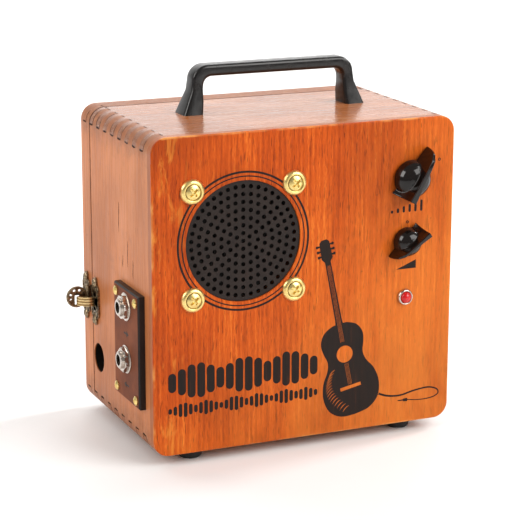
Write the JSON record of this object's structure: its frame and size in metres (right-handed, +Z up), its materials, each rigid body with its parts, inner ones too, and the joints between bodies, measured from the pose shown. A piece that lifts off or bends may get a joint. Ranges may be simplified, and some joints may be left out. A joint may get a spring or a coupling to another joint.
{
  "type": "practice amplifier",
  "caption": "Practice amplifier in a finger-jointed wooden box with hinged back, carrying handle, round grille, pointer knobs, indicator lamp and side jack plate.",
  "frame": {"origin": "on the resting surface, under the middle of the whole object's bounding box", "axes": "+Z up, -Y out of the front panel, +X to the right as seen from the front; the jack plate faces -X"},
  "size_m": [0.2014, 0.1312, 0.2115],
  "materials": {
    "front_wood": "orange-red varnished hardwood, worn edges",
    "cabinet_wood": "aged varnished hardwood, vertical grain",
    "plate_brown": "dark brown laminate with near-black edge",
    "handle_plastic": "satin black moulding",
    "knob_plastic": "gloss black phenolic moulding",
    "component_plastic": "black moulding",
    "rubber_black": "matt black rubber",
    "bright_brass": "polished brass",
    "antique_brass": "antiqued brass, dark in its hollows",
    "nickel": "nickel plate",
    "zinc_steel": "zinc-plated steel",
    "grille_black": "black enamel",
    "cone_paper": "pressed paper pulp",
    "spider_cloth": "resin-treated cotton",
    "magnet_ferrite": "ferrite",
    "circuit_laminate": "green solder mask on glass laminate",
    "coil_copper": "enamelled copper on a paper former",
    "tube_glass": "clear glass",
    "sink_aluminium": "extruded aluminium",
    "lens_red": "translucent red lens",
    "lead_sleeve": "black sleeve",
    "resistor_body": "tan lacquer"
  },
  "bodies": {
    "cabinet": {"board_standoffs": "bright_brass", "bottom_board": "cabinet_wood", "capacitors": "component_plastic", "carry_handle": "handle_plastic", "case_screws": "antique_brass", "chassis_screws": "zinc_steel", "circuit_board": "circuit_laminate", "control_nuts": "nickel", "cup_washers": "bright_brass", "foot_screws": "zinc_steel", "front_panel": "front_wood", "handle_screws": "zinc_steel", "heatsink": "sink_aluminium", "hinge_body_leaves": "antique_brass", "input_jack": "nickel", "jack_nuts": "nickel", "jack_plate": "plate_brown", "jack_plate_screws": "bright_brass", "jack_washers": "nickel", "lamp_bezel": "nickel", "lamp_lens": "lens_red", "latch_keeper": "antique_brass", "left_board": "cabinet_wood", "output_chip": "component_plastic", "output_jack": "nickel", "potentiometers": "zinc_steel", "resistors": "resistor_body", "right_board": "cabinet_wood", "rubber_feet": "rubber_black", "speaker_basket": "zinc_steel", "speaker_gasket": "rubber_black", "speaker_grille": "grille_black", "speaker_magnet": "magnet_ferrite", "speaker_nuts": "zinc_steel", "speaker_screws": "bright_brass", "speaker_spider": "spider_cloth", "speaker_surround": "rubber_black", "speaker_terminals": "resistor_body", "speaker_yoke": "zinc_steel", "supply_bracket": "zinc_steel", "supply_socket": "component_plastic", "top_board": "cabinet_wood", "tube_electrodes": "zinc_steel", "tube_glass": "tube_glass", "tube_socket": "component_plastic", "wiring_loom": "lead_sleeve"},
    "lid": {"lid_rails": "cabinet_wood", "back_board": "cabinet_wood", "hinge_lid_leaves": "antique_brass", "lid_screws": "antique_brass", "latch_lid_plate": "antique_brass", "lid_pins": "antique_brass"},
    "hasp": {"latch_hasp": "antique_brass"},
    "volume_control": {"volume_knob": "knob_plastic", "volume_shaft": "nickel"},
    "gain_control": {"gain_knob": "knob_plastic", "gain_shaft": "nickel"},
    "cone": {"speaker_cone": "cone_paper", "dust_cap": "cone_paper", "voice_coil": "coil_copper"}
  },
  "joints": [
    {"name": "lid_swing", "type": "hinge", "parent": "cabinet", "child": "lid", "pos_m": [0.09875, 0.0501, 0.095], "axis": [0, 0, -1], "range_deg": [0, 170]},
    {"name": "hasp_swing", "type": "hinge", "parent": "lid", "child": "hasp", "pos_m": [-0.08805, 0.0509, 0.073], "axis": [0, 0, -1], "range_deg": [-90, 85]},
    {"name": "volume_turn", "type": "hinge", "parent": "cabinet", "child": "volume_control", "pos_m": [0.06945, -0.0504, 0.1498], "axis": [0, 1, 0], "range_deg": [-179, 121]},
    {"name": "gain_turn", "type": "hinge", "parent": "cabinet", "child": "gain_control", "pos_m": [0.06715, -0.0504, 0.114], "axis": [0, 1, 0], "range_deg": [-25, 275]},
    {"name": "cone_travel", "type": "slide", "parent": "cabinet", "child": "cone", "axis": [0, -1, 0], "range_m": [-0.0015, 0.0015], "stiffness_N_per_m": 900, "deforming": ["speaker_surround", "speaker_spider"]}
  ]
}
